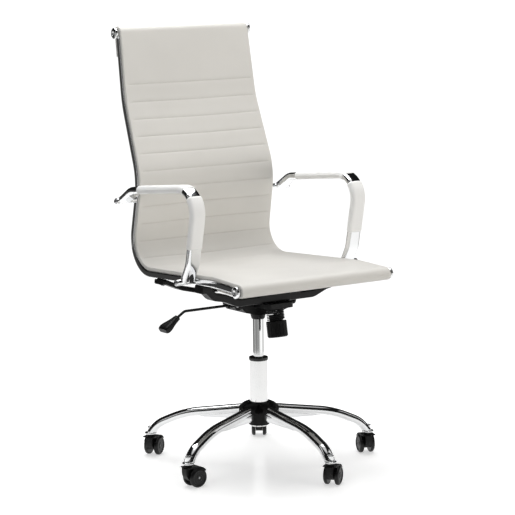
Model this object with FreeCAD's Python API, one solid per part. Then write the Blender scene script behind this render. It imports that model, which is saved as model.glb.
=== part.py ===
import FreeCAD, Part
import math
import os

os.makedirs("parts", exist_ok=True)

V = FreeCAD.Vector
X_AXIS = V(1, 0, 0)
Y_AXIS = V(0, 1, 0)
Z_AXIS = V(0, 0, 1)

# Frame: millimetres, floor at z = 0, column on the Z axis, the sitter faces -Y.
# The sitter's left hand is at +X. Left-hand pieces are built there and mirrored for the right.

# Base and casters
leg_count = 5
first_leg_deg = 54.43
stem_circle = 302.0
leg_width = 29.0
leg_depth = 22.0
leg_wall = 1.8
leg_centre_line = [(18.0, 149.5, 0.0), (205.0, 124.0, 260.0), (281.0, 90.0, 75.0), (304.0, 57.0, 0.0)]
keel_thickness = 9.0
keel_bottom = 117.0
keel_end = 208.0
hub_radius = 27.0
hub_bottom = 106.0
hub_top = 158.0
cover_radius = 52.0
cover_top = 166.0
cover_bottom = 140.0
cover_lobe_width = 42.0
socket_ring_radius = 15.5
socket_bottom = 60.0
socket_ring_height = 5.0
socket_sleeve_radius = 8.0
socket_top = 80.0

caster_trail_deg = [55.0, 31.0, 4.0, 35.0, 70.0]
caster_trail = 20.0
wheel_radius = 25.0
wheel_inner = 9.9
wheel_outer = 20.6
wheel_tread = 6.0
axle_radius = 3.0
stem_radius = 5.5
hood_core_half = 9.3
hood_fender_half = 17.5
fender_inner = 25.9
fender_outer = 28.6
hood_front = -14.0
hood_top = 54.0
hood_bottom = 14.5
hood_chin = 40.0
hood_curve = (-6.5, 23.5)
hood_curve_end = 8.0
hood_plate = 2.4
hood_boss_radius = 9.0
stem_bottom = 28.0
fender_first_deg = 35.0
fender_last_deg = 152.0

# Gas column
column_radius = 24.0
column_bore = 19.0
column_bottom = 102.0
column_floor = 108.0
column_top = 276.0
taper_radius = 22.0
bushing_flange_radius = 25.0
bushing_top = 284.0
bushing_bottom = 200.0
bearing_radius = 16.0
bearing_height = 6.0
rod_shoulder_radius = 9.0
piston_bottom = 221.0
piston_height = 6.0
cylinder_radius = 14.0
cylinder_bore = 12.0
cylinder_bottom = 212.0
cylinder_top = 416.0
cylinder_cap_bottom = 386.0
valve_bottom = 394.0
rod_radius = 5.0
valve_radius = 4.0
valve_top = 423.4
running_fit = 0.05

# Tilt mechanism
housing_bottom = 401.0
housing_top = 437.0
housing_half_width = 80.0
housing_front = -42.0
housing_back = 44.0
housing_wall = 4.0
nose_half_width = 42.0
nose_front = -104.0
nose_bottom = 424.0
socket_cone_bottom = 384.0
pivot_y = -34.0
pivot_z = 431.0
pivot_radius = 5.0
plate_bottom = 458.0
plate_thickness = 5.0
plate_half_width = 70.0
plate_front = -100.0
plate_back = 140.0
ear_inner = 83.0
ear_outer = 88.0
ear_half_length = 13.0
bolt_lean_deg = 10.2
bolt_radius = 5.0
bolt_y_at_nose = -73.0
spring_radius = 21.7
spring_wire = 1.4
spring_turns = 7
knob_radius = 26.3
knob_length = 42.0
knob_top_drop = 35.5
knob_flutes = 16
knob_neck = 16.0
knob_neck_radius = 17.0
spring_play = 0.4

# Lever
lever_z = 428.0
lever_radius = 3.5
lever_inner_end = 16.0
lever_pivot_x = -72.0
lever_bend_x = -228.0
lever_tip = (-262.0, 406.0)
paddle_length = 54.0
paddle_grip = 16.0
bush_radius = 8.0
bush_bore = 5.0
bush_half_length = 20.0
pivot_pin_radius = 1.5

# Seat frame
rail_width = 14.0
rail_depth = 20.0
rail_wall = 2.0
rail_front_x = 231.3
front_bar = (-242.0, 508.0)
top_bar = (336.5, 1113.0)
rail_corners = [
    (front_bar[0], front_bar[1], 0.0),
    (-130.0, 513.0, 420.0),
    (278.0, 495.0, 86.0),
    (233.4, 737.0, 170.0),
    (307.0, 933.0, 300.0),
    (top_bar[0], top_bar[1], 0.0),
]
rail_toe_deg = 1.564
rail_lean_deg = -1.209
cap_radius = 14.5
cap_thickness = 8.0
cap_neck_radius = 11.5
cap_neck = 4.0
cap_plug = 18.0
bar_radius = 9.5
bar_wall = 2.0
sling_gap = 0.2
sling_thickness = 8.0
sling_edge_inset = 1.0
hem_thickness = 4.0
front_hem = 95.0
top_hem = 60.0

stretcher_front_y = -66.0
stretcher_rear_y = 120.0
stretcher_wall = 3.0
stretcher_pad = 200.0
stretcher_front_line = [(228.0, 492.0, 0.0), (211.0, 491.0, 12.0), (190.0, 470.0, 18.0),
                        (158.0, 464.0, 30.0), (118.0, 448.0, 40.0)]
stretcher_rear_line = [(226.0, 487.0, 0.0), (211.0, 486.0, 14.0), (163.0, 466.0, 60.0),
                       (104.0, 452.0, 80.0)]

# Arms
arm_x = 251.0
arm_width = 40.0
arm_depth = 18.0
arm_wall = 1.8
arm_corners = [
    (-48.0, 512.0, 0.0),
    (-73.0, 556.0, 70.0),
    (-113.0, 751.0, 58.0),
    (186.0, 720.3, 60.0),
    (239.0, 688.0, 0.0),
]
arm_lug_radius = 8.0
arm_lug_front_x = 284.0
arm_lug_rear_x = 275.0
sleeve_thickness = 1.5
top_sleeve_span = (-62.0, 150.0)
front_sleeve_span = (597.0, 725.0)
screw_radius = 4.0
screw_head_radius = 7.0
screw_head = 4.5


def on_side(y, z):
    return V(0, y, z)


def on_front(x, z):
    return V(x, 0, z)


def rounded_line(corners, place):
    """Straight runs joined by tangent arcs; each corner is two places and a radius."""
    points = [place(first, second) for first, second, _ in corners]
    edges = []
    start = points[0]
    for before, corner, after, data in zip(points, points[1:], points[2:], corners[1:]):
        radius = data[2]
        to_before = (before - corner).normalize()
        to_after = (after - corner).normalize()
        half = to_before.getAngle(to_after) / 2
        reach = radius / math.tan(half)
        arc_start = corner + to_before * reach
        arc_end = corner + to_after * reach
        inward = (to_before + to_after).normalize()
        arc_middle = corner + inward * (radius / math.sin(half) - radius)
        edges.append(Part.LineSegment(start, arc_start).toShape())
        edges.append(Part.Arc(arc_start, arc_middle, arc_end).toShape())
        start = arc_end
    edges.append(Part.LineSegment(start, points[-1]).toShape())
    return Part.Wire(edges)


def rounded_section(width, depth, corner, centre, across, outward):
    """Rounded rectangle in the plane of two unit directions, as a closed wire."""
    half_w = width / 2
    half_d = depth / 2
    diagonal = corner * (1 - math.sqrt(0.5))

    def at(a, b):
        return centre + across * a + outward * b

    edges = []
    quarters = [(1, 1), (-1, 1), (-1, -1), (1, -1)]
    ends = []
    for sx, sy in quarters:
        beside = at(sx * half_w, sy * (half_d - corner))
        above = at(sx * (half_w - corner), sy * half_d)
        middle = at(sx * (half_w - diagonal), sy * (half_d - diagonal))
        first, last = (beside, above) if sx * sy > 0 else (above, beside)
        ends.append((first, middle, last))
    for index, (first, middle, last) in enumerate(ends):
        edges.append(Part.Arc(first, middle, last).toShape())
        following = ends[(index + 1) % 4][0]
        if last.distanceToPoint(following) > 0.01:
            edges.append(Part.LineSegment(last, following).toShape())
    return Part.Wire(edges)


def sweep(path, section, binormal):
    pipe = Part.BRepOffsetAPI.MakePipeShell(path)
    pipe.setBiNormalMode(binormal)
    pipe.add(section)
    pipe.build()
    pipe.makeSolid()
    return pipe.shape()


def bar_along(corners, place, width, depth, corner, offset=0.0):
    """Solid bar along a line that lies in the plane of place; width is across that plane."""
    path = rounded_line(corners, place)
    start = place(corners[0][0], corners[0][1])
    onward = (place(corners[1][0], corners[1][1]) - start).normalize()
    across = place(1, 0).cross(place(0, 1))
    outward = across.cross(onward)
    section = rounded_section(width, depth, corner, start + outward * offset, across, outward)
    return sweep(path, section, across)


def cylinder(radius, bottom, top, x=0.0, y=0.0):
    return Part.makeCylinder(radius, top - bottom, V(x, y, bottom), Z_AXIS)


def cylinder_x(radius, start, end, y, z):
    return Part.makeCylinder(radius, end - start, V(start, y, z), X_AXIS)


def box(x0, x1, y0, y1, z0, z1):
    return Part.makeBox(x1 - x0, y1 - y0, z1 - z0, V(x0, y0, z0))


def turned(points, axis_point=V(0, 0, 0), axis=Z_AXIS):
    """Solid of revolution from a closed outline of vectors."""
    outline = Part.makePolygon(points + [points[0]])
    return Part.Face(outline).revolve(axis_point, axis, 360)


def extruded(points, along):
    outline = Part.makePolygon(points + [points[0]])
    return Part.Face(outline).extrude(along)


def rotated(shape, degrees, axis=Z_AXIS, centre=V(0, 0, 0)):
    copy = shape.copy()
    copy.rotate(centre, axis, degrees)
    return copy


def moved(shape, x, y, z):
    copy = shape.copy()
    copy.translate(V(x, y, z))
    return copy


def mirrored(shape):
    return shape.mirror(V(0, 0, 0), X_AXIS)


def joined(shapes):
    return shapes[0].fuse(shapes[1:]).removeSplitter()


def biggest(shape):
    return max(shape.Solids, key=lambda solid: solid.Volume)


def save(name, *solids):
    shape = solids[0] if len(solids) == 1 else Part.makeCompound(list(solids))
    if not shape.isValid():
        print("invalid shape:", name)
    print(name, len(shape.Solids), "solid(s)", round(shape.Volume / 1000, 2), "cm3")
    shape.exportStep("parts/" + name + ".step")


# ---- Base: hub, five bent legs with keels, cover, caster sockets ----

def leg_blank():
    outer = bar_along(leg_centre_line, on_front, leg_width, leg_depth, leg_depth / 2)
    inner = bar_along(leg_centre_line, on_front, leg_width - 2 * leg_wall,
                      leg_depth - 2 * leg_wall, leg_depth / 2 - leg_wall)
    half = keel_thickness / 2
    keel_side = [V(20, -half, 142), V(20, -half, keel_bottom + 2), V(60, -half, keel_bottom),
                 V(150, -half, keel_bottom - 1), V(keel_end, -half, 121)]
    keel = extruded(keel_side, V(0, keel_thickness, 0))
    leg = outer.fuse(keel).cut(inner)
    leg = leg.cut(cylinder(hub_radius, 80, 200))
    leg = leg.cut(box(260, 340, -40, 40, 30, socket_bottom + socket_ring_height))
    return leg.cut(cylinder(socket_sleeve_radius, 50, socket_top, stem_circle))


def leg_socket():
    ring = cylinder(socket_ring_radius, socket_bottom, socket_bottom + socket_ring_height)
    ring = ring.makeFillet(1.5, [edge for edge in ring.Edges if edge.Closed])
    sleeve = cylinder(socket_sleeve_radius, socket_bottom + 1, socket_top)
    bore = cylinder(stem_radius + running_fit, 50, socket_top - 1)
    return moved(joined([ring, sleeve]).cut(bore), stem_circle, 0, 0)


def base_hub():
    return cylinder(hub_radius, hub_bottom, hub_top).cut(cylinder(taper_radius, 90, 170))


def hub_cover(legs, hub):
    rim = cover_bottom + 12
    dome = turned([V(column_radius + 0.3, 0, cover_bottom), V(column_radius + 0.3, 0, cover_top - 3),
                   V(27, 0, cover_top - 0.6), V(30, 0, cover_top), V(35, 0, cover_top - 0.6),
                   V(42, 0, cover_top - 4), V(48, 0, cover_top - 9), V(cover_radius, 0, rim),
                   V(cover_radius, 0, cover_bottom)])
    footprint = cylinder(hub_radius + 5, cover_bottom - 5, cover_top + 5)
    lobe = box(0, cover_radius + 5, -cover_lobe_width / 2, cover_lobe_width / 2,
               cover_bottom - 5, cover_top + 5)
    lobes = [rotated(lobe, first_leg_deg + 360 / leg_count * index) for index in range(leg_count)]
    cover = dome.common(footprint.fuse(lobes))
    solid_legs = []
    for index in range(leg_count):
        tube = bar_along(leg_centre_line, on_front, leg_width, leg_depth, leg_depth / 2)
        solid_legs.append(rotated(tube, first_leg_deg + 360 / leg_count * index))
    return biggest(cover.cut(solid_legs + legs + [hub]))


# ---- Casters ----

def caster_hood():
    axle = V(caster_trail, 0, wheel_radius)

    def around_axle(radius, degrees):
        angle = math.radians(degrees)
        return axle + V(radius * math.cos(angle), 0, radius * math.sin(angle))

    lug = wheel_radius - hood_bottom
    core_top = V(caster_trail, 0, hood_top - 1)
    edges = [
        Part.LineSegment(core_top, V(hood_front + 4, 0, hood_top)).toShape(),
        Part.Arc(V(hood_front + 4, 0, hood_top), V(hood_front + 1.2, 0, hood_top - 1.2),
                 V(hood_front, 0, hood_top - 4)).toShape(),
        Part.LineSegment(V(hood_front, 0, hood_top - 4), V(hood_front, 0, hood_chin)).toShape(),
        Part.Arc(V(hood_front, 0, hood_chin), V(hood_curve[0], 0, hood_curve[1]),
                 V(hood_curve_end, 0, hood_bottom)).toShape(),
        Part.LineSegment(V(hood_curve_end, 0, hood_bottom), around_axle(lug, 270)).toShape(),
        Part.Arc(around_axle(lug, 270), around_axle(lug, 315), around_axle(lug, 0)).toShape(),
        Part.LineSegment(around_axle(lug, 0), around_axle(fender_inner + 1, 25)).toShape(),
        Part.Arc(around_axle(fender_inner + 1, 25), around_axle(fender_inner + 1, 57),
                 around_axle(hood_top - 1 - wheel_radius, 90)).toShape(),
    ]
    core = Part.Face(Part.Wire(edges)).extrude(V(0, 2 * hood_core_half, 0))
    core.translate(V(0, -hood_core_half, 0))
    outer_start = around_axle(fender_outer, fender_first_deg)
    outer_end = around_axle(fender_outer, fender_last_deg)
    inner_start = around_axle(fender_inner, fender_first_deg)
    inner_end = around_axle(fender_inner, fender_last_deg)
    fender_edges = [
        Part.Arc(outer_start, around_axle(fender_outer, 90), outer_end).toShape(),
        Part.LineSegment(outer_end, inner_end).toShape(),
        Part.Arc(inner_end, around_axle(fender_inner, 90), inner_start).toShape(),
        Part.LineSegment(inner_start, outer_start).toShape(),
    ]
    fender = Part.Face(Part.Wire(fender_edges)).extrude(V(0, 2 * hood_fender_half, 0))
    fender.translate(V(0, -hood_fender_half, 0))
    plate_top = hood_top - 0.4
    cap = box(hood_front + 3, caster_trail, -hood_fender_half, hood_fender_half,
              plate_top - hood_plate, plate_top)
    wheel_room = Part.makeCylinder(fender_inner, 60, axle - V(0, 30, 0), Y_AXIS)
    cap = cap.cut(wheel_room)
    boss = cylinder(hood_boss_radius, hood_chin, socket_bottom - 0.6)
    hood = joined([core, fender, cap, boss])
    hood = hood.cut(Part.makeCylinder(axle_radius, 60, axle - V(0, 30, 0), Y_AXIS))
    return hood.cut(cylinder(stem_radius, stem_bottom, socket_bottom + 5))


def caster_wheel(side):
    rim = wheel_radius
    bore = axle_radius + running_fit
    inner = wheel_inner
    outer = wheel_outer
    tread_end = inner + wheel_tread
    outline = [V(bore, inner, 0), V(rim - 1.5, inner, 0), V(rim, inner + 1.5, 0), V(rim, tread_end, 0),
               V(rim - 1.2, tread_end + 2.4, 0), V(rim - 3.5, outer - 0.8, 0), V(rim - 5.5, outer, 0),
               V(rim - 7, outer - 0.5, 0), V(rim - 8, outer - 1.8, 0), V(9, outer - 1.8, 0),
               V(8, outer - 0.8, 0), V(bore, outer - 0.8, 0)]
    wheel = turned(outline, V(0, 0, 0), Y_AXIS)
    wheel = moved(wheel, caster_trail, 0, wheel_radius)
    return wheel if side > 0 else wheel.mirror(V(0, 0, 0), Y_AXIS)


def caster_pieces():
    half = wheel_outer - 2
    axle = Part.makeCylinder(axle_radius, 2 * half, V(caster_trail, -half, wheel_radius), Y_AXIS)
    stem = cylinder(stem_radius, stem_bottom, socket_top - 2)
    return {"hood": caster_hood(), "stem": stem, "axle": axle,
            "wheel_a": caster_wheel(1), "wheel_b": caster_wheel(-1)}


# ---- Gas column ----

def column_tube():
    body = cylinder(column_radius, hub_top + 1, column_top)
    body = joined([body, cylinder(taper_radius, column_bottom, hub_top + 1)])
    body = body.cut(cylinder(column_bore, column_floor, column_top + 5))
    return body.cut(cylinder(rod_radius + 0.6, column_bottom - 5, column_floor + 5))


def column_bushing():
    flange = cylinder(bushing_flange_radius, column_top, bushing_top)
    flange = flange.makeFillet(1.2, [edge for edge in flange.Edges if edge.Closed])
    sleeve = cylinder(column_bore, bushing_bottom, column_top + 1)
    return joined([flange, sleeve]).cut(cylinder(cylinder_radius + running_fit, 190, 300))


def thrust_bearing():
    washer = cylinder(bearing_radius, column_floor, column_floor + bearing_height)
    return washer.cut(cylinder(rod_radius + running_fit, 100, 120))


def piston_rod():
    rod = cylinder(rod_radius, column_bottom - 4, piston_bottom + 1)
    shoulder_bottom = column_floor + bearing_height + 0.5
    shoulder = cylinder(rod_shoulder_radius, shoulder_bottom, shoulder_bottom + 2.5)
    head = cylinder(cylinder_bore - running_fit, piston_bottom, piston_bottom + piston_height)
    return joined([rod, shoulder, head])


def rod_clip():
    clip = cylinder(rod_shoulder_radius, column_bottom - 2.5, column_bottom - 0.5)
    return clip.cut(cylinder(rod_radius, column_bottom - 10, column_bottom + 10))


def gas_cylinder():
    body = cylinder(cylinder_radius, cylinder_bottom, cylinder_top)
    body = body.cut(cylinder(cylinder_bore, cylinder_bottom + 6, cylinder_cap_bottom))
    body = body.cut(cylinder(rod_radius + running_fit, 200, 225))
    return body.cut(cylinder(valve_radius + running_fit, 380, 420))


# ---- Tilt mechanism ----

def pan_outline(y, inset, top):
    half = housing_half_width - inset
    low = housing_bottom + inset
    return [V(-half, y, top), V(-half, y, 424 + inset / 3), V(12 - half, y, 411 + inset), V(-28, y, low),
            V(28, y, low), V(half - 12, y, 411 + inset), V(half, y, 424 + inset / 3), V(half, y, top)]


def bolt_frame(shape):
    """Leans a shape that was built round the Z axis on to the tension bolt's line."""
    leaned = rotated(shape, -bolt_lean_deg, X_AXIS)
    return moved(leaned, 0, bolt_y_at_nose, nose_bottom)


def mech_housing():
    depth = housing_back - housing_front
    pan = extruded(pan_outline(housing_front, 0, housing_top), V(0, depth, 0))
    hollow = extruded(pan_outline(housing_front + housing_wall, housing_wall, housing_top + 1),
                      V(0, depth - 2 * housing_wall, 0))
    nose = box(-nose_half_width, nose_half_width, nose_front, housing_front + 1, nose_bottom, housing_top)
    upright = [edge for edge in nose.Edges
               if abs(edge.BoundBox.ZLength - (housing_top - nose_bottom)) < 0.01
               and edge.BoundBox.YMin < nose_front + 1]
    nose = nose.makeFillet(14, upright)
    cone = turned([V(0, 0, socket_cone_bottom), V(16, 0, socket_cone_bottom),
                   V(17.5, 0, socket_cone_bottom + 2), V(21.5, 0, housing_bottom + 1),
                   V(21.5, 0, cylinder_top - 2), V(0, 0, cylinder_top - 2)])
    body = pan.cut(hollow)
    body = joined([body, nose, cone])
    body = body.cut(cylinder(cylinder_radius, 370, 430))
    body = body.cut(bolt_frame(cylinder(11, -30, 40)))
    body = body.cut(cylinder_x(pivot_radius + running_fit, -90, 90, pivot_y, pivot_z))
    return body.cut(cylinder_x(bush_radius + running_fit, -90, -60, 0, lever_z))


def seat_plate():
    top = plate_bottom + plate_thickness
    plate = box(-plate_half_width, plate_half_width, plate_front, plate_back, plate_bottom, top)
    corners = [edge for edge in plate.Edges if abs(edge.BoundBox.ZLength - plate_thickness) < 0.01]
    plate = plate.makeFillet(16, corners)
    wing = box(-ear_outer, ear_outer, pivot_y - ear_half_length, pivot_y + ear_half_length, plate_bottom, top)
    pieces = [plate, wing]
    for side in (-1, 1):
        inner, outer = sorted((side * ear_inner, side * ear_outer))
        ear = box(inner, outer, pivot_y - ear_half_length, pivot_y + ear_half_length, pivot_z, plate_bottom)
        pieces.append(ear)
        pieces.append(cylinder_x(ear_half_length, inner, outer, pivot_y, pivot_z))
    body = joined(pieces)
    body = body.cut(cylinder_x(pivot_radius, -100, 100, pivot_y, pivot_z))
    return body.cut(bolt_frame(cylinder(bolt_radius, 0, 60)))


def tilt_pin():
    pin = cylinder_x(pivot_radius, -ear_outer - 2, ear_outer + 2, pivot_y, pivot_z)
    return pin.makeFillet(1, [edge for edge in pin.Edges if edge.Closed])


def tension_bolt():
    shank = cylinder(bolt_radius, -knob_top_drop - knob_length + 6, 45)
    head = cylinder(9, 42.5, 48.5)
    return bolt_frame(joined([shank, head]))


def tension_spring():
    lean_rise = (spring_radius + spring_wire) * math.tan(math.radians(bolt_lean_deg))
    length = knob_top_drop - lean_rise - 2 * (spring_wire + spring_play)
    helix = Part.makeHelix(length / spring_turns, length, spring_radius)
    centre = V(spring_radius, 0, 0)
    ring = Part.Wire(Part.Circle(centre, Y_AXIS, spring_wire).toShape())
    coil = Part.Wire(helix).makePipeShell([ring], True, True)
    return bolt_frame(moved(coil, 0, 0, -knob_top_drop + spring_wire + spring_play))


def tension_knob():
    top = -knob_top_drop
    low = top - knob_length
    neck = cylinder(knob_neck_radius, top - 1, top + knob_neck)
    body = turned([V(0, 0, top), V(knob_radius - 1, 0, top), V(knob_radius, 0, top - 1.5),
                   V(knob_radius, 0, low + 3), V(knob_radius - 3, 0, low), V(0, 0, low)])
    flutes = []
    for index in range(knob_flutes):
        flute = cylinder(2.2, low - 5, top - 6, knob_radius + 0.9)
        flutes.append(rotated(flute, 360 / knob_flutes * index))
    body = joined([body.cut(flutes), neck])
    return bolt_frame(body.cut(cylinder(bolt_radius + running_fit, low + 5.5, top + 30)))


# ---- Lever ----

def lever_line():
    return [(lever_inner_end, lever_z, 0.0), (lever_bend_x, lever_z, 18.0), (lever_tip[0], lever_tip[1], 0.0)]


def lever_rod():
    path = rounded_line(lever_line(), on_front)
    circle = Part.Wire(Part.Circle(V(lever_inner_end, 0, lever_z), X_AXIS, lever_radius).toShape())
    rod = sweep(path, circle, Y_AXIS)
    pin_room = Part.makeCylinder(pivot_pin_radius + running_fit, 20, V(lever_pivot_x, -10, lever_z), Y_AXIS)
    return rod.cut(pin_room)


def lever_bush():
    start = lever_pivot_x - bush_half_length
    end = lever_pivot_x + bush_half_length
    bush = cylinder_x(bush_radius, start, end, 0, lever_z)
    bush = bush.cut(cylinder_x(bush_bore, start - 10, end + 10, 0, lever_z))
    return bush.cut(Part.makeCylinder(pivot_pin_radius, 20, V(lever_pivot_x, -10, lever_z), Y_AXIS))


def lever_cross_pin():
    half = bush_radius - 0.2
    return Part.makeCylinder(pivot_pin_radius, 2 * half, V(lever_pivot_x, -half, lever_z), Y_AXIS)


def lever_paddle(rod):
    tip = V(lever_tip[0], 0, lever_tip[1])
    onward = (tip - V(lever_bend_x, 0, lever_z)).normalize()
    outward = Y_AXIS.cross(onward)
    start = tip - onward * paddle_grip
    sections = []
    for along, width, depth in ((0, 15, 12), (10, 18, 14), (32, 32, 17), (paddle_length - 5, 37, 17),
                                (paddle_length, 33, 12)):
        centre = start + onward * along
        sections.append(rounded_section(width, depth, depth * 0.32, centre, Y_AXIS, outward))
    body = Part.makeLoft(sections, True, False)
    return body.cut(rod)


# ---- Seat frame ----

def rail_plane(shape):
    """Turns a shape that was built in the chair's middle plane into the left rail's plane."""
    centre = V(0, front_bar[0], front_bar[1])
    turned_shape = rotated(shape, rail_lean_deg, Y_AXIS, centre)
    turned_shape = rotated(turned_shape, rail_toe_deg, Z_AXIS, centre)
    return moved(turned_shape, rail_front_x, 0, 0)


def rail():
    centre_x = -rail_width / 2
    outer = bar_along(rail_corners, on_side, rail_width, rail_depth, 5.0)
    inner = bar_along(rail_corners, on_side, rail_width - 2 * rail_wall, rail_depth - 2 * rail_wall, 3.0)
    pieces = [outer.cut(inner)]
    for y, z in (front_bar, top_bar):
        pieces.append(cylinder_x(rail_depth / 2, -rail_width / 2, rail_width / 2, y, z))
    body = joined(pieces)
    for y, z in (front_bar, top_bar):
        body = body.cut(cylinder_x(screw_radius, -20, 20, y, z))
    return rail_plane(moved(body, centre_x, 0, 0))


def rail_cap(y, z):
    """End cap with its neck and screw shank, for a bar centre in the rail's own plane."""
    outer = cap_neck + cap_thickness
    outline = [V(-28, 0, 0), V(-28, screw_radius, 0), V(0, screw_radius, 0), V(0, cap_neck_radius, 0),
               V(cap_neck, cap_neck_radius, 0), V(cap_neck, cap_radius - 1.2, 0),
               V(cap_neck + 1.2, cap_radius, 0), V(outer - 2.5, cap_radius, 0),
               V(outer - 0.6, cap_radius - 2.2, 0), V(outer, cap_radius - 5, 0),
               V(outer, 5.5, 0), V(outer - 3.5, 4.5, 0), V(outer - 3.5, 0, 0)]
    cap = turned(outline, V(0, 0, 0), X_AXIS)
    return rail_plane(moved(cap, 0, y, z))


def cross_bar(y, z, caps):
    """Tube between the rails' inner faces, with solid ends that take the caps' screws."""
    inner_end = rail_plane(Part.Vertex(V(-rail_width, y, z)))
    half = inner_end.X + rail_width
    bar = cylinder_x(bar_radius, -half, half, inner_end.Y, inner_end.Z)
    between = rail_plane(box(-700, -rail_width, -400, 500, 400, 1200))
    bar = bar.common(between).common(mirrored(between))
    hollow = inner_end.X - cap_plug
    bar = bar.cut(cylinder_x(bar_radius - bar_wall, -hollow, hollow, inner_end.Y, inner_end.Z))
    return biggest(bar.cut(caps))


def sling(rails, bars, caps):
    width = 560.0
    middle = sling_gap + rail_depth / 2 + sling_thickness / 2
    sheet = bar_along(rail_corners, on_side, width, sling_thickness, 0.5, middle)
    pieces = [sheet]
    inner = rail_depth / 2 + sling_gap
    outer = inner + sling_thickness
    front_way = V(0, rail_corners[1][0] - front_bar[0], rail_corners[1][1] - front_bar[1]).normalize()
    top_way = V(0, top_bar[0] - rail_corners[-2][0], top_bar[1] - rail_corners[-2][1]).normalize()
    for (y, z), way in ((front_bar, front_way * -1), (top_bar, top_way)):
        ring = cylinder_x(outer, -width / 2, width / 2, y, z)
        ring = ring.cut(cylinder_x(inner, -width / 2, width / 2, y, z))
        beyond = Part.makeBox(width, 60, 120, V(-width / 2, 0, -60))
        angle = math.degrees(math.atan2(way.z, way.y))
        beyond = moved(rotated(beyond, angle, X_AXIS), 0, y, z)
        pieces.append(ring.common(beyond))
    for line, length in ((rail_corners[:2], front_hem), (rail_corners[:-3:-1], top_hem)):
        start = V(0, line[0][0], line[0][1])
        onward = (V(0, line[1][0], line[1][1]) - start).normalize()
        end = start + onward * length
        flat = [(start.y, start.z, 0.0), (end.y, end.z, 0.0)]
        side = -1 if line[0][0] == front_bar[0] else 1
        lower = side * (inner + hem_thickness / 2)
        pieces.append(bar_along(flat, on_side, width, hem_thickness, 0.4, lower))
    body = joined(pieces)
    keep = rail_plane(box(-700, -sling_edge_inset, -400, 500, 400, 1200))
    body = body.common(keep).common(mirrored(keep))
    return body.cut(rails + bars + caps)


def mirror_line(half_line):
    left = [(-x, z, radius) for x, z, radius in half_line]
    return left + half_line[::-1]


def stretcher(half_line, y, width, depth, rails):
    bar = bar_along(mirror_line(half_line), on_front, width, depth, 4.0)
    hollow = bar_along(mirror_line(half_line), on_front, width - 2 * stretcher_wall,
                       depth - 2 * stretcher_wall, 1.0)
    hollow = hollow.common(box(-stretcher_pad, stretcher_pad, -50, 50, 400, 520))
    return biggest(moved(bar.cut(hollow), 0, y, 0).cut(rails))


# ---- Arms ----

def arm():
    outer = bar_along(arm_corners, on_side, arm_width, arm_depth, arm_depth / 2 - 0.01)
    inner = bar_along(arm_corners, on_side, arm_width - 2 * arm_wall, arm_depth - 2 * arm_wall,
                      arm_depth / 2 - arm_wall - 0.01)
    return moved(outer.cut(inner), arm_x, 0, 0)


def arm_with_lugs():
    lugs = []
    for (y, z, _), outer_x in ((arm_corners[0], arm_lug_front_x), (arm_corners[-1], arm_lug_rear_x)):
        lugs.append(cylinder_x(arm_lug_radius, 200, outer_x, y, z))
    body = joined([arm()] + lugs)
    for y, z, _ in (arm_corners[0], arm_corners[-1]):
        body = body.cut(cylinder_x(screw_radius, 190, 300, y, z))
    keep = rail_plane(box(0.0, 200, -400, 500, 400, 1200))
    return body.common(keep)


def arm_sleeves():
    inner = bar_along(arm_corners, on_side, arm_width, arm_depth, arm_depth / 2 - 0.01)
    outer = bar_along(arm_corners, on_side, arm_width + 2 * sleeve_thickness,
                      arm_depth + 2 * sleeve_thickness, arm_depth / 2 + sleeve_thickness - 0.01)
    skin = moved(outer.cut(inner), arm_x, 0, 0)
    top = skin.common(box(150, 350, top_sleeve_span[0], top_sleeve_span[1], 690, 800))
    front = skin.common(box(150, 350, -200, -60, front_sleeve_span[0], front_sleeve_span[1]))
    return [top, front]


def screw(length):
    """Button-head screw along X, head outwards, under-head face at the origin."""
    head = turned([V(0, 0, 0), V(0, screw_head_radius, 0), V(1.5, screw_head_radius, 0),
                   V(screw_head, screw_head_radius - 3, 0), V(screw_head, 2.8, 0),
                   V(screw_head - 2.5, 2.8, 0), V(screw_head - 2.5, 0, 0)], V(0, 0, 0), X_AXIS)
    return joined([head, cylinder_x(screw_radius, -length, 1, 0, 0)])


def arm_screws():
    placed = []
    for (y, z, _), outer_x in ((arm_corners[0], arm_lug_front_x), (arm_corners[-1], arm_lug_rear_x)):
        one = moved(screw(outer_x - 216.0 if y < 0 else outer_x - 206.0), outer_x, y, z)
        placed += [one, mirrored(one)]
    return placed


def stretcher_screws():
    placed = []
    for y, x, z in ((stretcher_front_y, 218.5, 484.0), (stretcher_rear_y, 213.5, 480.0)):
        one = rotated(screw(20), 90, Y_AXIS)
        one = moved(one, x, y, z)
        placed += [one, mirrored(one)]
    return placed


# ---- Build and save every piece ----

leg = leg_blank()
socket = leg_socket()
legs = []
sockets = []
for index in range(leg_count):
    angle = first_leg_deg + 360 / leg_count * index
    legs.append(rotated(leg, angle))
    sockets.append(rotated(socket, angle))
    save("leg_%d" % (index + 1), legs[-1])
hub = base_hub()
save("base_hub", hub)
save("hub_cover", hub_cover(legs, hub))
save("leg_sockets", *sockets)

pieces = caster_pieces()
for index in range(leg_count):
    angle = first_leg_deg + 360 / leg_count * index
    centre = V(stem_circle * math.cos(math.radians(angle)), stem_circle * math.sin(math.radians(angle)), 0)
    for name, shape in pieces.items():
        placed = moved(rotated(shape, caster_trail_deg[index]), centre.x, centre.y, 0)
        save("caster_%d_%s" % (index + 1, name), placed)

save("column_tube", column_tube())
save("column_bushing", column_bushing())
save("thrust_bearing", thrust_bearing())
save("piston_rod", piston_rod(), rod_clip())
save("gas_cylinder", gas_cylinder())
save("valve_pin", cylinder(valve_radius, valve_bottom, valve_top))

save("mech_housing", mech_housing())
save("tilt_pin", tilt_pin())
save("tension_bolt", tension_bolt())
save("tension_spring", tension_spring())
save("tension_knob", tension_knob())
rod = lever_rod()
save("lever_rod", rod)
save("lever_bush", lever_bush(), lever_cross_pin())
save("lever_paddle", lever_paddle(rod))

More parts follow.
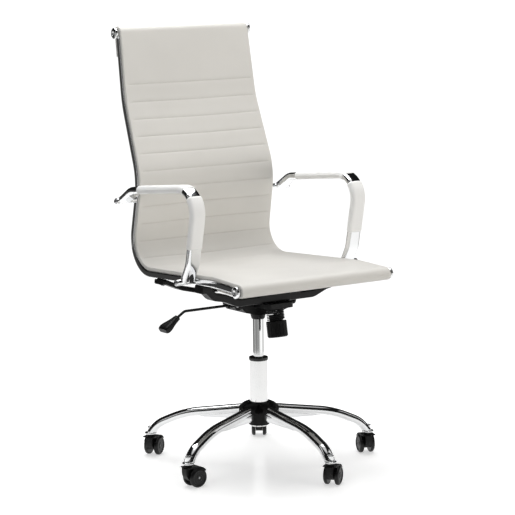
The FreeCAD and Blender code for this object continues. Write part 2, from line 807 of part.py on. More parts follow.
screws = arm_screws() + stretcher_screws()
rail_left = rail().cut(screws)
rail_right = mirrored(rail_left)
rails = [rail_left, rail_right]
caps = []
for y, z in (front_bar, top_bar):
    cap = rail_cap(y, z)
    caps += [cap, mirrored(cap)]
bars = [cross_bar(y, z, caps) for y, z in (front_bar, top_bar)]
save("rail_right", rail_right)
save("rail_left", rail_left)
save("rail_caps", *caps)
save("cross_bars", *bars)
save("sling", sling(rails, bars, caps))

bolt_room = bolt_frame(cylinder(bolt_radius, 0, 60))
front = stretcher(stretcher_front_line, stretcher_front_y, 36, 20, rails)
rear = stretcher(stretcher_rear_line, stretcher_rear_y, 40, 12, rails)
save("stretcher_front", biggest(front.cut([bolt_room] + screws)))
save("stretcher_rear", biggest(rear.cut(screws)))
save("seat_plate", seat_plate())

arm_left = arm_with_lugs().cut(screws)
save("arm_left", arm_left)
save("arm_right", mirrored(arm_left))
sleeves = arm_sleeves()
save("arm_sleeves_left", *sleeves)
save("arm_sleeves_right", *[mirrored(shape) for shape in sleeves])
save("frame_screws", *screws)
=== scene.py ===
import math

import bmesh
import bpy
import numpy as np
from mathutils import Matrix, Vector, noise


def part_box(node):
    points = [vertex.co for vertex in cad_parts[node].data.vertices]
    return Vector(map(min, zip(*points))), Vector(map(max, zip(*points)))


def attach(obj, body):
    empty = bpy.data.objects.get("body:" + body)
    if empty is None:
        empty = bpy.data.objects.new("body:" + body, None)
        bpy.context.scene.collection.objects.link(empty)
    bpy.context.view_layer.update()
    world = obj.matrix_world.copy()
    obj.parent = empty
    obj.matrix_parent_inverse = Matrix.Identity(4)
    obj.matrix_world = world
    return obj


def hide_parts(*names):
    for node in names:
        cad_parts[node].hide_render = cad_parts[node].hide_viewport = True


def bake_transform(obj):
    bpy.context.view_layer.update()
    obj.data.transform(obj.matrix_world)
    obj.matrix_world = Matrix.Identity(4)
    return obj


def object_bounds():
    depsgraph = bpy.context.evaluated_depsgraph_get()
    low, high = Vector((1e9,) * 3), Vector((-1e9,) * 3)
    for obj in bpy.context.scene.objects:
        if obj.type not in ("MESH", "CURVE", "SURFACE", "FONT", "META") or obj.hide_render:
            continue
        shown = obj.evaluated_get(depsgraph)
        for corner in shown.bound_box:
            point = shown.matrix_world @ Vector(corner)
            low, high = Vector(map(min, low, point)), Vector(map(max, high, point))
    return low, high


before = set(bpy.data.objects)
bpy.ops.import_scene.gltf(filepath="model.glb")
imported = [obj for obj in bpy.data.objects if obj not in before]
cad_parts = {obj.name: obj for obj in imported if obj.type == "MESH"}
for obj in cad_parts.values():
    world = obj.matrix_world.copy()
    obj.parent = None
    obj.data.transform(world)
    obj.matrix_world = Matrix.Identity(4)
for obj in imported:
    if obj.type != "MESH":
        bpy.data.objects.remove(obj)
cad_low, cad_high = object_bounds()


# ---- The studio ----
# A white sweep under one broad light, with a strip light and a soft fill at each side. The room
# above the sweep is dark, and polished chrome shows it as black bands between white ones.

camera_azimuth = math.radians(-35.57)
camera_distance = 5.574
camera_height = 1.393
camera_pitch = math.radians(8.67)
camera_roll = math.radians(-0.55)
camera_lens = 153.2

camera_data = bpy.data.cameras.new("camera")
camera_data.lens = camera_lens
camera_data.sensor_width = 36.0
camera = bpy.data.objects.new("camera", camera_data)
bpy.context.scene.collection.objects.link(camera)
away = Vector((-math.sin(camera_azimuth), math.cos(camera_azimuth), 0.0))
sight = away * math.cos(camera_pitch) - Vector((0, 0, math.sin(camera_pitch)))
level_right = sight.cross(Vector((0, 0, 1))).normalized()
level_up = level_right.cross(sight)
right = level_right * math.cos(camera_roll) + level_up * math.sin(camera_roll)
up = level_up * math.cos(camera_roll) - level_right * math.sin(camera_roll)
turn = Matrix((right, up, -sight)).transposed().to_4x4()
camera.matrix_world = Matrix.Translation(away * -camera_distance + Vector((0, 0, camera_height))) @ turn
camera_data.clip_end = 60.0
bpy.context.scene.camera = camera
bpy.context.scene.view_settings.view_transform = "Standard"


class Value:
    """A shader socket that takes Python's arithmetic; each step adds a Math node."""

    def __init__(self, finish, socket):
        self.finish = finish
        self.socket = socket

    def math(self, operation, *values):
        return self.finish.node("ShaderNodeMath", {"operation": operation}, dict(enumerate(values)))

    def __add__(self, other):
        return self.math("ADD", self, other)

    def __radd__(self, other):
        return self.math("ADD", other, self)

    def __sub__(self, other):
        return self.math("SUBTRACT", self, other)

    def __rsub__(self, other):
        return self.math("SUBTRACT", other, self)

    def __mul__(self, other):
        return self.math("MULTIPLY", self, other)

    def __rmul__(self, other):
        return self.math("MULTIPLY", other, self)

    def between(self, low, high):
        """0 below low, 1 above high, smooth in between."""
        return self.finish.node("ShaderNodeMapRange", {"interpolation_type": "SMOOTHSTEP"},
                                {"Value": self, "From Min": low, "From Max": high})


class Finish:
    """A tree of shader nodes. Every node in it comes from node()."""

    def __init__(self, tree):
        self.tree = tree
        tree.nodes.clear()

    def node(self, kind, settings=None, sockets=None, out=0):
        """Adds a node: first its settings, then the values or links of its sockets."""
        node = self.tree.nodes.new(kind)
        for key, value in (settings or {}).items():
            if key == "stops":
                ramp = node.color_ramp.elements
                while len(ramp) < len(value):
                    ramp.new(0.5)
                for element, (position, colour) in zip(ramp, value):
                    element.position = position
                    element.color = (*colour, 1.0)
            else:
                setattr(node, key, value)
        for key, value in (sockets or {}).items():
            if isinstance(value, Value):
                self.tree.links.new(value.socket, node.inputs[key])
            else:
                node.inputs[key].default_value = value
        return Value(self, node.outputs[out]) if node.outputs else node

    def place(self):
        return self.node("ShaderNodeTexCoord", out="Object")

    def clouds(self, scale, detail=3.0, where=None):
        return self.node("ShaderNodeTexNoise", sockets={"Vector": where or self.place(), "Scale": scale,
                                                        "Detail": detail})

    def mix(self, amount, first, second):
        """A colour between two others."""
        return self.node("ShaderNodeMix", {"data_type": "RGBA"}, {0: amount, 6: first, 7: second}, out=2)

    def bump(self, height, distance, strength=1.0):
        return self.node("ShaderNodeBump", sockets={"Height": height, "Distance": distance,
                                                    "Strength": strength})

    def surface(self, sockets):
        shader = self.node("ShaderNodeBsdfPrincipled", sockets=sockets)
        self.node("ShaderNodeOutputMaterial", sockets={"Surface": shader})


def new_finish(name):
    material = bpy.data.materials.new(name)
    material.use_nodes = True
    return material, Finish(material.node_tree)


world = bpy.data.worlds.new("studio")
world.use_nodes = True
bpy.context.scene.world = world
room = Finish(world.node_tree)
facing = room.node("ShaderNodeVectorRotate", {"rotation_type": "Z_AXIS"},
                   {"Vector": room.node("ShaderNodeTexCoord", out="Generated"), "Angle": -camera_azimuth})
parts = room.tree.nodes.new("ShaderNodeSeparateXYZ")
room.tree.links.new(facing.socket, parts.inputs[0])
side = Value(room, parts.outputs[0])
depth = Value(room, parts.outputs[1])
height = Value(room, parts.outputs[2])
turn_share = side.math("ARCTAN2", side, depth) * (0.5 / math.pi) + 0.5
# Brightness round the horizon, as shares of a turn: 0 and 1 behind the camera, 0.5 behind the chair.
sweep_tones = [(0.00, 0.33), (0.067, 0.36), (0.12, 0.24), (0.17, 0.24), (0.21, 0.75),
               (0.245, 0.45), (0.27, 0.05), (0.325, 0.05), (0.38, 0.35), (0.44, 0.9),
               (0.50, 1.0), (0.56, 0.9), (0.62, 0.35), (0.71, 0.8), (0.777, 1.2),
               (0.833, 1.3), (0.883, 1.1), (0.93, 0.58), (0.977, 0.35), (1.00, 0.33)]
sweep_stops = [(place, (tone, tone, tone * 0.985)) for place, tone in sweep_tones]
room_grey = (0.010, 0.010, 0.010, 1.0)
ceiling_grey = (0.7, 0.7, 0.7, 1.0)
backdrop_white = (1.1, 1.1, 1.1, 1.0)
sweep = room.node("ShaderNodeValToRGB", {"stops": sweep_stops}, {"Fac": turn_share})
dark_room = room.mix(height.between(0.02, 0.08), sweep, room_grey)
ceiling = room.mix(height.between(0.80, 0.90), dark_room, ceiling_grey)
backdrop = room.mix(room.node("ShaderNodeLightPath", out="Is Camera Ray"), ceiling, backdrop_white)
room.node("ShaderNodeOutputWorld", sockets={
    "Surface": room.node("ShaderNodeBackground", sockets={"Color": backdrop, "Strength": 1.0})})


def soft_light(name, place, target, size, power, colour=(1, 1, 1), mirrored=True):
    """A rectangular light in watts; one that isn't mirrored leaves no highlight on chrome."""
    data = bpy.data.lights.new(name, "AREA")
    data.shape = "RECTANGLE"
    data.size, data.size_y = size
    data.energy = power
    data.color = colour
    lamp = bpy.data.objects.new(name, data)
    lamp.location = place
    lamp.visible_glossy = mirrored
    lamp.rotation_euler = (Vector(target) - Vector(place)).to_track_quat("-Z", "Y").to_euler()
    bpy.context.scene.collection.objects.link(lamp)


middle = Vector((0, 0, (cad_low.z + cad_high.z) / 2))
soft_light("overhead", (0.15, 0.60, 3.0), (0, -0.1, 0.4), (2.4, 2.4), 82, (0.99, 0.995, 1.0))
soft_light("left_side", (-3.0, 0.4, 1.9), middle, (0.8, 2.0), 3)
soft_light("right_side", (2.8, -1.4, 2.0), middle, (0.8, 2.0), 4)
soft_light("front_fill", (2.0, -3.6, 0.6), middle, (2.2, 1.6), 56, (1.0, 0.965, 0.91), False)
soft_light("left_fill", (-3.0, -1.2, 1.3), middle, (1.6, 1.6), 22, (0.98, 0.99, 1.0), False)

floor_radius = 1.5
floor_sides = 96
rim_turns = [2 * math.pi * step / floor_sides for step in range(floor_sides)]
rim = [(floor_radius * math.cos(angle), floor_radius * math.sin(angle), 0) for angle in rim_turns]
floor_mesh = bpy.data.meshes.new("floor")
floor_mesh.from_pydata(rim, [], [list(range(floor_sides))])
floor = bpy.data.objects.new("floor", floor_mesh)
bpy.context.scene.collection.objects.link(floor)
floor_material, paper = new_finish("pale_sweep")
reach = paper.node("ShaderNodeVectorMath", {"operation": "LENGTH"}, {0: paper.place()}, out="Value")
seen = paper.node("ShaderNodeLightPath", out="Is Camera Ray")
bounced = paper.node("ShaderNodeLightPath", out="Is Diffuse Ray")
# Painted light: the floor glows though it is no lamp. Camera rays see it brighter the farther it is from the
# chair. All but diffuse rays see a fixed glow, which chrome mirrors as bright floor.
painted_floor_glow = 0.40 * (1 - bounced) + (0.15 + reach.between(0.3, 1.2) * 0.6) * seen
tone = paper.mix(paper.clouds(1.5), (0.88, 0.88, 0.875, 1), (0.92, 0.92, 0.915, 1))
# Painted shade: diffuse rays see the floor's colour 40% darker, which dims the bounce light under and around
# the chair.
paper.surface({"Base Color": paper.mix(bounced * 0.4, tone, (0, 0, 0, 1)),
               "Roughness": 0.20 + paper.clouds(6.0) * 0.06, "Specular IOR Level": 0.5,
               "Emission Color": paper.mix(painted_floor_glow, (0, 0, 0, 1), (1, 1, 1, 1)), "Emission Strength": 1.0})
floor_mesh.materials.append(floor_material)


# ---- Legs and caster sockets ----
# Five bent steel legs with a socket for a caster at each end, chromed, polished and lightly
# smeared by handling.

def chrome(name, base, roughness, edge):
    """Polished plating over steel whose edges are rounded by the buffing wheel to a given radius."""
    material, plating = new_finish(name)
    smears = plating.clouds(16.0, 4.0)
    specks = plating.clouds(900.0, 2.0)
    buffed = plating.node("ShaderNodeBevel", {"samples": 8}, {"Radius": edge})
    ripple = plating.node("ShaderNodeBump", sockets={"Height": specks, "Distance": 0.00002, "Strength": 0.25,
                                                     "Normal": buffed})
    plating.surface({"Base Color": plating.mix(smears, base, tuple(c * 0.93 for c in base[:3]) + (1,)),
                     "Metallic": 1.0, "Roughness": roughness + smears.between(0.45, 0.75) * 0.05,
                     "Normal": ripple})
    return material


weld_gap = 0.00001
crease = math.radians(32.0)


def dress(node, material):
    """Gives a CAD node a finish, and shades its merged surface smooth up to the crease angle."""
    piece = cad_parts[node]
    mesh = piece.data
    mesh.materials.clear()
    mesh.materials.append(material)
    weld = piece.modifiers.new("weld", "WELD")
    weld.merge_threshold = weld_gap
    piece.modifiers.new("shade", "NODES").node_group = shade_tree


def smooth_below(angle):
    """Geometry nodes that shade smooth every edge flatter than an angle."""
    tree = bpy.data.node_groups.new("smooth_to_crease", "GeometryNodeTree")
    tree.interface.new_socket("Geometry", in_out="INPUT", socket_type="NodeSocketGeometry")
    tree.interface.new_socket("Geometry", in_out="OUTPUT", socket_type="NodeSocketGeometry")
    start = tree.nodes.new("NodeGroupInput")
    end = tree.nodes.new("NodeGroupOutput")
    faces = tree.nodes.new("GeometryNodeSetShadeSmooth")
    edges = tree.nodes.new("GeometryNodeSetShadeSmooth")
    edges.domain = "EDGE"
    bend = tree.nodes.new("GeometryNodeInputMeshEdgeAngle")
    flat = tree.nodes.new("FunctionNodeCompare")
    flat.operation = "LESS_THAN"
    flat.inputs[1].default_value = angle
    links = tree.links
    links.new(start.outputs[0], faces.inputs[0])
    links.new(faces.outputs[0], edges.inputs[0])
    links.new(bend.outputs[0], flat.inputs[0])
    links.new(flat.outputs[0], edges.inputs["Shade Smooth"])
    links.new(edges.outputs[0], end.inputs[0])
    return tree


shade_tree = smooth_below(crease)
bright_chrome = chrome("bright_chrome", (0.84, 0.845, 0.85, 1), 0.035, 0.0045)
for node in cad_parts:
    if node.startswith("leg_"):
        dress(node, bright_chrome)


# ---- Hub and hub cover ----
# The hub is a turned steel tube in black powder coat; the cover is a moulded nylon dome that
# clips over it, with a lobe over each leg.

def black_coat(name, tone, roughness, grain, depth, gloss=0.22):
    """Black paint or plastic whose surface has a grain of a given size and depth, in metres."""
    material, paint = new_finish(name)
    texture = paint.clouds(1.0 / grain, 2.0)
    patches = paint.clouds(22.0)
    paint.surface({"Base Color": paint.mix(patches, (tone, tone, tone * 1.03, 1),
                                           (tone * 1.7, tone * 1.7, tone * 1.75, 1)),
                   "Roughness": roughness + (patches - 0.5) * 0.12, "Specular IOR Level": gloss,
                   "Normal": paint.bump(texture, depth, 0.6)})
    return material


powder_coat = black_coat("powder_coat", 0.0025, 0.34, 0.0011, 0.00012)
nylon = black_coat("moulded_nylon", 0.003, 0.42, 0.0007, 0.00006)
dress("base_hub", powder_coat)
dress("hub_cover", nylon)


# ---- Casters ----
# Each has a moulded nylon hood with fenders, two nylon wheels on a steel axle, and a zinc-plated
# stem that clips into the leg's socket.

def zinc(name, tone):
    material, metal = new_finish(name)
    streaks = metal.clouds(260.0, 3.0)
    metal.surface({"Base Color": metal.mix(streaks, (tone, tone, tone * 1.02, 1),
                                           (tone * 0.7, tone * 0.7, tone * 0.72, 1)),
                   "Metallic": 1.0, "Roughness": 0.26 + streaks * 0.12})
    return material


plated_steel = zinc("plated_steel", 0.55)
wheel_nylon = black_coat("wheel_nylon", 0.006, 0.30, 0.0009, 0.00004, 0.35)
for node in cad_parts:
    if node.startswith("caster_"):
        kind = node.split("_", 2)[2]
        dress(node, {"hood": nylon, "stem": plated_steel, "axle": plated_steel}.get(kind, wheel_nylon))


# ---- Gas column ----
# A chromed outer tube pressed into the hub, a black guide bushing at its mouth, and the thin
# chromed gas cylinder that slides and turns in it.

column_chrome = chrome("column_chrome", (0.88, 0.88, 0.875, 1), 0.07, 0.0015)
dress("column_tube", column_chrome)
dress("gas_cylinder", bright_chrome)
dress("column_bushing", black_coat("bushing_plastic", 0.004, 0.16, 0.0006, 0.00003, 0.5))
for node in ("thrust_bearing", "piston_rod", "valve_pin"):
    dress(node, plated_steel)


# ---- Tilt mechanism ----
# A black cast housing on the column's cone, hinged to the seat plate, with a tension bolt, a
# spring and a fluted knob below its nose.

cast_iron = black_coat("cast_housing", 0.004, 0.46, 0.0022, 0.00045)
dress("mech_housing", cast_iron)

# On the chair the coil is pressed shorter between the nose and the knob as the seat tilts; here it is a
# welded, smooth-shaded copy of the CAD spring that stands in the spring's place.
coil_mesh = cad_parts["tension_spring"].data.copy()
coil_mesh.materials.clear()
coil_mesh.materials.append(powder_coat)
work = bmesh.new()
work.from_mesh(coil_mesh)
bmesh.ops.remove_doubles(work, verts=work.verts, dist=weld_gap)
work.to_mesh(coil_mesh)
work.free()
coil_mesh.polygons.foreach_set("use_smooth", [True] * len(coil_mesh.polygons))
coil = bpy.data.objects.new("coil_spring", coil_mesh)
bpy.context.scene.collection.objects.link(coil)
coil_low, coil_high = (Vector(corner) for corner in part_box("tension_spring"))
coil_foot = (coil_low + coil_high) / 2
coil_foot.z = coil_low.z
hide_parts("tension_spring")
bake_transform(coil)

dress("tension_knob", nylon)
for node in ("seat_plate", "stretcher_front", "stretcher_rear"):
    dress(node, powder_coat)
for node in ("tilt_pin", "tension_bolt"):
    dress(node, plated_steel)


# ---- Lever ----
# A bent steel rod in black satin, held in a nylon bush, with a moulded paddle pushed on its end.

dress("lever_rod", powder_coat)
dress("lever_bush", nylon)
dress("lever_paddle", nylon)


# ---- Seat frame and arms ----
# One bent rail and one arm loop each side, chromed, with turned caps on the ends of the two
# cross bars that the sling is folded round.

for node in ("rail_left", "rail_right", "rail_caps", "arm_left", "arm_right"):
    dress(node, bright_chrome)
for node in ("cross_bars", "frame_screws"):
    dress(node, plated_steel)


# ---- Sling ----
# Two layers of white leatherette over thin foam, sewn through in ribs across the back, folded
# round the front and top bars and pulled tight between the rails.

def on_line(corners, step=0.002):
    """Places and directions along straight runs joined by tangent arcs, at about even steps."""
    places = []
    ways = []

    def run(start, end):
        count = max(2, int((end - start).length / step))
        for index in range(count):
            places.append(start.lerp(end, index / count))
            ways.append((end - start).normalized())

    begin = Vector(corners[0][:2])
    for before, corner, after in zip(corners, corners[1:], corners[2:]):
        radius = corner[2]
        here = Vector(corner[:2])
        back = (Vector(before[:2]) - here).normalized()
        ahead = (Vector(after[:2]) - here).normalized()
        half = back.angle(ahead) / 2
        reach = radius / math.tan(half)
        centre = here + (back + ahead).normalized() * (radius / math.sin(half))
        run(begin, here + back * reach)
        first = here + back * reach - centre
        last = here + ahead * reach - centre
        sweep = math.pi - 2 * half
        clockwise = -1.0 if first.x * last.y - first.y * last.x < 0 else 1.0
        count = max(4, int(sweep * radius / step))
        for index in range(count):
            angle = clockwise * sweep * index / count
            spoke = Vector((first.x * math.cos(angle) - first.y * math.sin(angle),
                            first.x * math.sin(angle) + first.y * math.cos(angle)))
            places.append(centre + spoke)
            ways.append(Vector((-spoke.y, spoke.x)).normalized() * clockwise)
        begin = here + ahead * reach
    run(begin, Vector(corners[-1][:2]))
    places.append(Vector(corners[-1][:2]))
    ways.append(ways[-1])
    return np.array(places), np.array(ways)


front_bar = (-0.242, 0.508)
top_bar = (0.3365, 1.113)
rail_corners = [(*front_bar, 0.0), (-0.130, 0.513, 0.420), (0.278, 0.495, 0.086),
                (0.2334, 0.737, 0.170), (0.307, 0.933, 0.300), (*top_bar, 0.0)]
bar_gap = 0.0102
sling_thick = 0.008
hem_thick = 0.004
front_hem = 0.095
top_hem = 0.060
rib_first_z = 0.980
rib_spacing = 0.0465
rib_count = 11
rib_width = 0.0034
rib_depth = 0.0016
inner_rib_depth = 0.0013
# Width of the painted shade along each sewn rib line.
rib_shade_width = 0.0009
edge_roll = 0.0026
edge_drop = 0.0024
deepest_sag = 0.0052
front_hem_rows = 48
fold_rows = 28
top_hem_rows = 32


def rail_reach(y, z):
    """Half the sling's width where it crosses a place on the rails, which toe and lean inwards."""
    return 0.2303 - 0.0273 * (y - front_bar[0]) - 0.0211 * (z - front_bar[1])


def sling_line():
    """The inner face's line and its outward direction, from the front hem to the top hem."""
    centre, way = on_line(rail_corners)
    normal = np.stack([-way[:, 1], way[:, 0]], 1)
    places = []
    outward = []
    for share in np.linspace(1, 0, front_hem_rows, endpoint=False):
        places.append(centre[0] + way[0] * front_hem * share - normal[0] * bar_gap)
        outward.append(-normal[0])
    for angle in np.linspace(0, math.pi, fold_rows, endpoint=False):
        outward.append(-normal[0] * math.cos(angle) - way[0] * math.sin(angle))
        places.append(centre[0] + outward[-1] * bar_gap)
    places += list(centre + normal * bar_gap)
    outward += list(normal)
    for angle in np.linspace(0, math.pi, fold_rows)[1:]:
        outward.append(normal[-1] * math.cos(angle) + way[-1] * math.sin(angle))
        places.append(centre[-1] + outward[-1] * bar_gap)
    for share in np.linspace(0, 1, top_hem_rows)[1:]:
        places.append(centre[-1] - way[-1] * top_hem * share - normal[-1] * bar_gap)
        outward.append(-normal[-1])
    places = np.array(places)
    outward = np.array(outward)
    face = places + outward * sling_thick
    steps = np.linalg.norm(np.diff(face, axis=0), axis=1)
    return places, outward, np.concatenate([[0], np.cumsum(steps)])


line_places, line_outward, line_run = sling_line()
line_length = line_run[-1]
back_rows = np.where(line_places[:, 0] > 0.15)[0]
back_rows = back_rows[line_outward[back_rows, 0] < -0.2]
first_rib_run = float(np.interp(rib_first_z, line_places[back_rows, 1], line_run[back_rows]))
ribs = [first_rib_run - rib_spacing * index for index in range(rib_count)]


def at_run(run):
    place = np.array([np.interp(run, line_run, line_places[:, axis]) for axis in (0, 1)])
    out = np.array([np.interp(run, line_run, line_outward[:, axis]) for axis in (0, 1)])
    return place, out / np.linalg.norm(out)


def smooth_step(value, low, high):
    share = min(1.0, max(0.0, (value - low) / (high - low)))
    return share * share * (3 - 2 * share)


def rib_fall(run):
    """1 on a sewn line, falling to 0 at the crown of the padding beside it."""
    return math.exp(-min(abs(run - rib) for rib in ribs) / rib_width)


def hem_share(run):
    """0 in the thin hems behind the bars, 1 in the padded sheet."""
    return smooth_step(run, front_hem - 0.004, front_hem + 0.022) * smooth_step(
        line_length - run, top_hem - 0.004, top_hem + 0.022)


def sling_point(run, x_share, inside):
    """A place on the sling's outer or inner face; x_share is -1 at one rail and 1 at the other."""
    place, out = at_run(run)
    half = rail_reach(place[0], place[1])
    x = x_share * half
    from_edge = half - abs(x)
    fall = rib_fall(run) * smooth_step(from_edge, 0.004, 0.018)
    padded = hem_share(run)
    sheet = smooth_step(run, front_hem + 0.06, front_hem + 0.16) * smooth_step(
        line_length - run, top_hem + 0.05, top_hem + 0.14)
    sag = deepest_sag * sheet * smooth_step(from_edge, 0.012, half)
    ripple = noise.noise(Vector((x * 55, run * 30, 3.0))) * 0.00055 * fall
    ripple += noise.noise(Vector((x * 9, run * 7, 8.0))) * 0.0008 * sheet * smooth_step(from_edge, 0.02, 0.08)
    thick = hem_thick + (sling_thick - hem_thick) * padded
    if inside:
        lift = fall * inner_rib_depth * padded - sag
    else:
        roll = 1 - min(1.0, from_edge / edge_roll)
        rounding = edge_drop * (1 - math.sqrt(1 - roll * roll))
        lift = thick - rib_depth * fall * padded - rounding - sag + ripple
    spot = place + out * lift
    return (x, spot[0], spot[1])


def mesh_piece(name, points, faces, material):
    mesh = bpy.data.meshes.new(name)
    mesh.from_pydata(points, [], faces)
    work = bmesh.new()
    work.from_mesh(mesh)
    bmesh.ops.recalc_face_normals(work, faces=work.faces)
    work.to_mesh(mesh)
    work.free()
    mesh.materials.append(material)
    mesh.polygons.foreach_set("use_smooth", [True] * len(mesh.polygons))
    piece = bpy.data.objects.new(name, mesh)
    bpy.context.scene.collection.objects.link(piece)
    return piece


def leather(name, base, shade):
    """White leatherette: a fine pebble grain, faint clouding, and painted shade darkening the sewn rib lines.
    """
    material, hide = new_finish(name)
    where = hide.place()
    cells = hide.node("ShaderNodeTexVoronoi", {"feature": "SMOOTH_F1"}, {"Vector": where, "Scale": 720.0})
    pores = hide.clouds(1900.0, 2.0, where)
    clouding = hide.clouds(7.0, 3.0, where)
    rib_shade = hide.node("ShaderNodeAttribute", {"attribute_name": "sewn"}, out="Fac")
    tone = hide.mix(clouding.between(0.35, 0.7), base, tuple(c * 0.965 for c in base[:3]) + (1,))
    # Painted shade: the colour darkens towards the shade colour along the sewn rib grooves.
    hide.surface({"Base Color": hide.mix(rib_shade * 0.45, tone, shade),
                  "Roughness": 0.40 + cells * 0.16 + clouding * 0.06,
                  "Specular IOR Level": 0.42, "Sheen Weight": 0.05,
                  "Normal": hide.bump(cells * 0.7 + pores * 0.3, 0.00016, 0.55)})
    return material


white_leather = leather("white_leather", (0.715, 0.697, 0.66, 1), (0.45, 0.43, 0.39, 1))

run_step = 0.004
runs = set(np.round(np.arange(0, line_length, run_step), 6)) | {line_length}
near_rib = [sign * offset for sign in (-1, 1) for offset in (0.0, 0.0009, 0.002, 0.0035, 0.0055)]
fine_runs = {round(rib + offset, 6) for rib in ribs for offset in near_rib}
runs = sorted(fine_runs | {run for run in runs if min(abs(run - rib) for rib in ribs) > 0.0068})
across = sorted({round(sign * (1 - offset), 5) for sign in (-1, 1)
                 for offset in (0, 0.002, 0.005, 0.009, 0.013, 0.022, 0.04)}
                | set(np.round(np.linspace(-0.94, 0.94, 59), 5)))
half_back = rail_reach(0.2, 0.7)
points = []
# Painted shade along each sewn rib, kept as a point attribute that darkens the leather there.
sewn = []
for run in runs:
    for share in across:
        points.append(sling_point(run, share, False))
        sewn.append(math.exp(-min(abs(run - rib) for rib in ribs) / rib_shade_width)
                    * smooth_step(half_back * (1 - abs(share)), 0.008, 0.016))
    for share in across[::-1]:
        points.append(sling_point(run, share, True))
        sewn.append(0.0)
ring = 2 * len(across)
faces = []
for row in range(len(runs) - 1):
    for column in range(ring):
        following = (column + 1) % ring
        faces.append((row * ring + column, row * ring + following,
                      (row + 1) * ring + following, (row + 1) * ring + column))
for first in (0, (len(runs) - 1) * ring):
    for column in range(len(across) - 1):
        faces.append((first + column, first + column + 1,
                      first + ring - 2 - column, first + ring - 1 - column))
sling = mesh_piece("sling_cover", points, faces, white_leather)
sling.data.attributes.new("sewn", "FLOAT", "POINT").data.foreach_set("value", sewn)
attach(sling, "seat")
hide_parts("sling")


# ---- Rib stitching ----
# Lockstitch in off-white thread along each rib, on the front and on the back of the sling.

def instance_tree():
    """Geometry nodes that lay a small solid along edge lines at an even pitch."""
    tree = bpy.data.node_groups.new("along_lines", "GeometryNodeTree")
    tree.interface.new_socket("Lines", in_out="INPUT", socket_type="NodeSocketGeometry")
    for name, kind in (("Pitch", "Float"), ("Stitch Length", "Float"), ("Thread", "Float"),
                       ("Material", "Material")):
        tree.interface.new_socket(name, in_out="INPUT", socket_type="NodeSocket" + kind)
    tree.interface.new_socket("Geometry", in_out="OUTPUT", socket_type="NodeSocketGeometry")
    nodes = tree.nodes
    links = tree.links
    start = nodes.new("NodeGroupInput")
    end = nodes.new("NodeGroupOutput")
    curve = nodes.new("GeometryNodeMeshToCurve")
    spaced = nodes.new("GeometryNodeResampleCurve")
    spaced.mode = "LENGTH"
    ball = nodes.new("GeometryNodeMeshUVSphere")
    ball.inputs["Segments"].default_value = 6
    ball.inputs["Rings"].default_value = 4
    ball.inputs["Radius"].default_value = 0.5
    size = nodes.new("ShaderNodeCombineXYZ")
    place = nodes.new("GeometryNodeInstanceOnPoints")
    align = nodes.new("FunctionNodeAlignRotationToVector")
    align.axis = "X"
    tangent = nodes.new("GeometryNodeInputTangent")
    real = nodes.new("GeometryNodeRealizeInstances")
    paint = nodes.new("GeometryNodeSetMaterial")
    links.new(start.outputs["Lines"], curve.inputs["Mesh"])
    links.new(curve.outputs[0], spaced.inputs["Curve"])
    links.new(start.outputs["Pitch"], spaced.inputs["Length"])
    links.new(spaced.outputs[0], place.inputs["Points"])
    links.new(ball.outputs["Mesh"], place.inputs["Instance"])
    links.new(tangent.outputs[0], align.inputs["Vector"])
    links.new(align.outputs[0], place.inputs["Rotation"])
    links.new(start.outputs["Stitch Length"], size.inputs["X"])
    links.new(start.outputs["Thread"], size.inputs["Y"])
    links.new(start.outputs["Thread"], size.inputs["Z"])
    links.new(size.outputs[0], place.inputs["Scale"])
    links.new(place.outputs[0], real.inputs[0])
    links.new(real.outputs[0], paint.inputs["Geometry"])
    links.new(start.outputs["Material"], paint.inputs["Material"])
    links.new(paint.outputs[0], end.inputs[0])
    return tree


stitch_tree = instance_tree()


def stitched(name, lines, material, pitch, length, thread):
    """Stitches along polylines of places, as one plain mesh."""
    points = [point for line in lines for point in line]
    edges = []
    start = 0
    for line in lines:
        edges += [(start + index, start + index + 1) for index in range(len(line) - 1)]
        start += len(line)
    mesh = bpy.data.meshes.new(name)
    mesh.from_pydata(points, edges, [])
    piece = bpy.data.objects.new(name, mesh)
    bpy.context.scene.collection.objects.link(piece)
    modifier = piece.modifiers.new("stitches", "NODES")
    modifier.node_group = stitch_tree
    values = {"Pitch": pitch, "Stitch Length": length, "Thread": thread, "Material": material}
    for item in stitch_tree.interface.items_tree:
        if item.in_out == "INPUT" and item.name in values:
            modifier[item.identifier] = values[item.name]
    graph = bpy.context.evaluated_depsgraph_get()
    made = bpy.data.meshes.new_from_object(piece.evaluated_get(graph), depsgraph=graph)
    piece.modifiers.clear()
    piece.data = made
    made.polygons.foreach_set("use_smooth", [True] * len(made.polygons))
    return piece


def thread_finish():
    material, thread = new_finish("thread")
    twist = thread.clouds(2600.0, 2.0)
    thread.surface({"Base Color": thread.mix(twist, (0.62, 0.60, 0.56, 1), (0.78, 0.76, 0.72, 1)),
                    "Roughness": 0.62 + twist * 0.2, "Normal": thread.bump(twist, 0.0001, 0.5)})
    return material


thread_white = thread_finish()
stitch_shares = np.linspace(-0.95, 0.95, 90)
lines = []
for rib in ribs:
    for inside in (False, True):
        lines.append([sling_point(rib, share, inside) for share in stitch_shares])
stitch_pitch = 0.0042
stitch_length = 0.0032
thread_thick = 0.0006
rib_stitches = stitched("rib_stitches", lines, thread_white, stitch_pitch, stitch_length, thread_thick)
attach(rib_stitches, "seat")


# ---- Arm sleeves ----
# Leatherette sleeves over the front and the top of each arm loop, closed along both edges by a
# raised seam and turned under at the ends.

arm_corners = [(-0.048, 0.512, 0.0), (-0.073, 0.556, 0.070), (-0.113, 0.751, 0.058),
               (0.186, 0.7203, 0.060), (0.239, 0.688, 0.0)]
arm_x = 0.251
arm_half_width = 0.020
arm_half_depth = 0.009
sleeve_thick = 0.0015
sleeve_seam = 0.0008
sleeve_sides = 56
line_step = 0.002


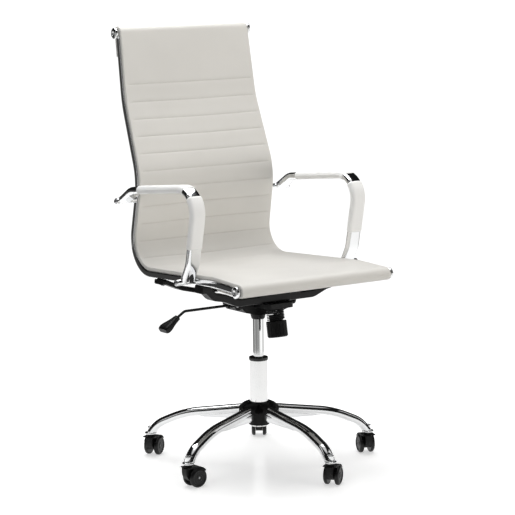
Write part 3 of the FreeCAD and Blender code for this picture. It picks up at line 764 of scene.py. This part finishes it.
def sleeve(keep, side):
    """A sleeve over the stretch of the arm's line where keep(y, z) is true."""
    places, ways = on_line(arm_corners, line_step)
    chosen = [index for index in range(len(places)) if keep(*places[index])]
    first, last = chosen[0], chosen[-1]
    sides = sleeve_sides
    straight = arm_half_width - arm_half_depth
    points = []
    for index in range(first, last + 1):
        place = places[index]
        normal = Vector((-ways[index][1], ways[index][0]))
        from_end = min(index - first, last - index) * line_step
        swell = sleeve_thick * (0.25 + 0.75 * math.sqrt(min(1.0, from_end / 0.003)))
        swell += 0.0004 * math.exp(-abs(from_end - 0.004) / 0.0015)
        for step in range(sides):
            angle = 2 * math.pi * step / sides
            crest = math.exp(-(abs(math.sin(angle)) / 0.13) ** 2) * sleeve_seam * min(1.0, from_end / 0.003)
            fold = noise.noise(Vector((place[0] * 40, place[1] * 40, angle * 1.3 + side))) * 0.00035
            radius = arm_half_depth + swell + crest + fold
            across = math.copysign(straight, math.cos(angle)) if abs(math.cos(angle)) > 1e-6 else 0.0
            blend = min(1.0, abs(math.cos(angle)) * 3)
            x = across * blend + radius * math.cos(angle)
            out = radius * math.sin(angle)
            points.append((side * arm_x + x, place[0] + normal.x * out, place[1] + normal.y * out))
    faces = []
    for row in range(last - first):
        for step in range(sides):
            following = (step + 1) % sides
            faces.append((row * sides + step, row * sides + following,
                          (row + 1) * sides + following, (row + 1) * sides + step))
    for base in (0, (last - first) * sides):
        faces.append(tuple(range(base, base + sides)))
    return points, faces


def on_top(y, z):
    return z > 0.69 and -0.062 < y < 0.150


def down_front(y, z):
    return y < -0.060 and 0.597 < z < 0.725


# Painted light: the sleeves take a lighter copy of the sling's white leatherette, standing in for the light
# that falls on the arms.
lit_sleeve_leather = leather("lit_sleeve_leather", (0.93, 0.925, 0.91, 1), (0.6, 0.58, 0.55, 1))
for side, hand in ((1, "left"), (-1, "right")):
    points = []
    faces = []
    for keep in (on_top, down_front):
        more_points, more_faces = sleeve(keep, side)
        faces += [tuple(index + len(points) for index in face) for face in more_faces]
        points += more_points
    piece = mesh_piece("sleeves_" + hand, points, faces, lit_sleeve_leather)
    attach(piece, "seat")
    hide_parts("arm_sleeves_" + hand)
